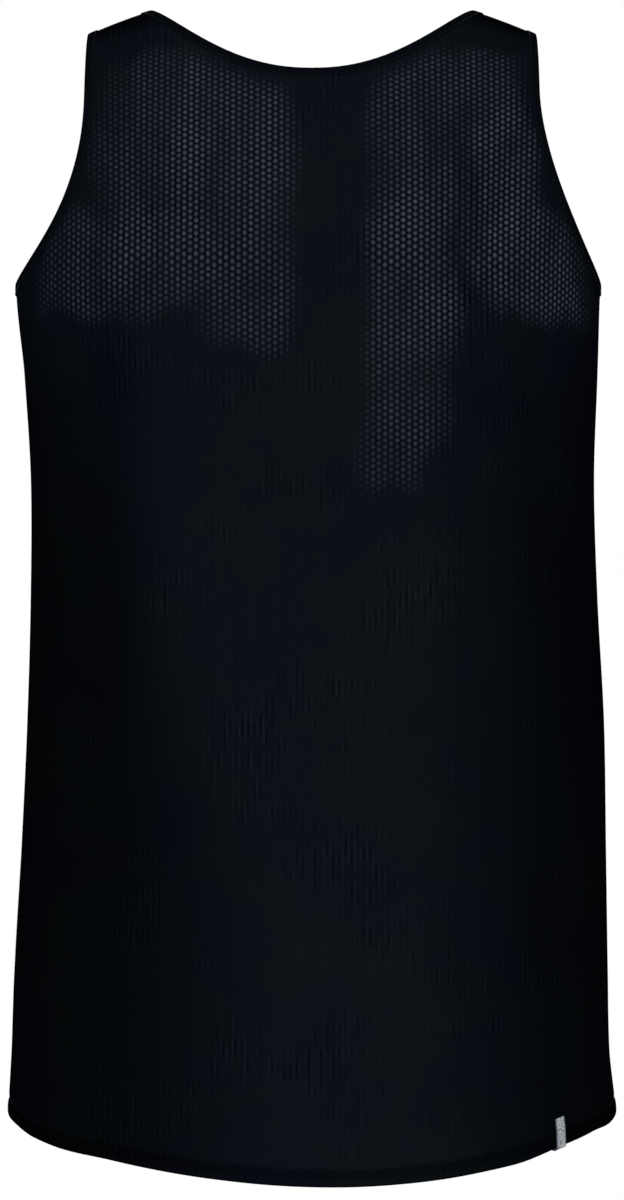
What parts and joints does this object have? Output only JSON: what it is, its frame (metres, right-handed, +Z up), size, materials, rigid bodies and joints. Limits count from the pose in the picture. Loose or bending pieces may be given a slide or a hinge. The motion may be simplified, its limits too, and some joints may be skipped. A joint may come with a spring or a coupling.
{
  "type": "sleeveless sports shirt",
  "caption": "Loose sleeveless running shirt in mesh knit, worn shape and hollow, with scoop neck, banded armholes, curved turned hem, side vents and a folded hem label.",
  "frame": {"origin": "midway between the two shoulder points beside the neck, where the wearer's shoulders hold the shirt up", "axes": "+Z up, +Y the way the wearer faces, +X to the wearer's right; the back panel faces -Y"},
  "size_m": [0.364, 0.2517, 0.6906],
  "materials": {
    "mesh_knit": "black honeycomb mesh knit, soft",
    "band_knit": "black plain knit, folded, matt",
    "ribbon": "grey woven ribbon, satin, bare"
  },
  "bodies": {
    "root": {"back_panel": "mesh_knit", "front_panel": "mesh_knit", "neck_band": "band_knit", "armhole_band_left": "band_knit", "armhole_band_right": "band_knit", "hem_label": "ribbon"}
  },
  "joints": []
}
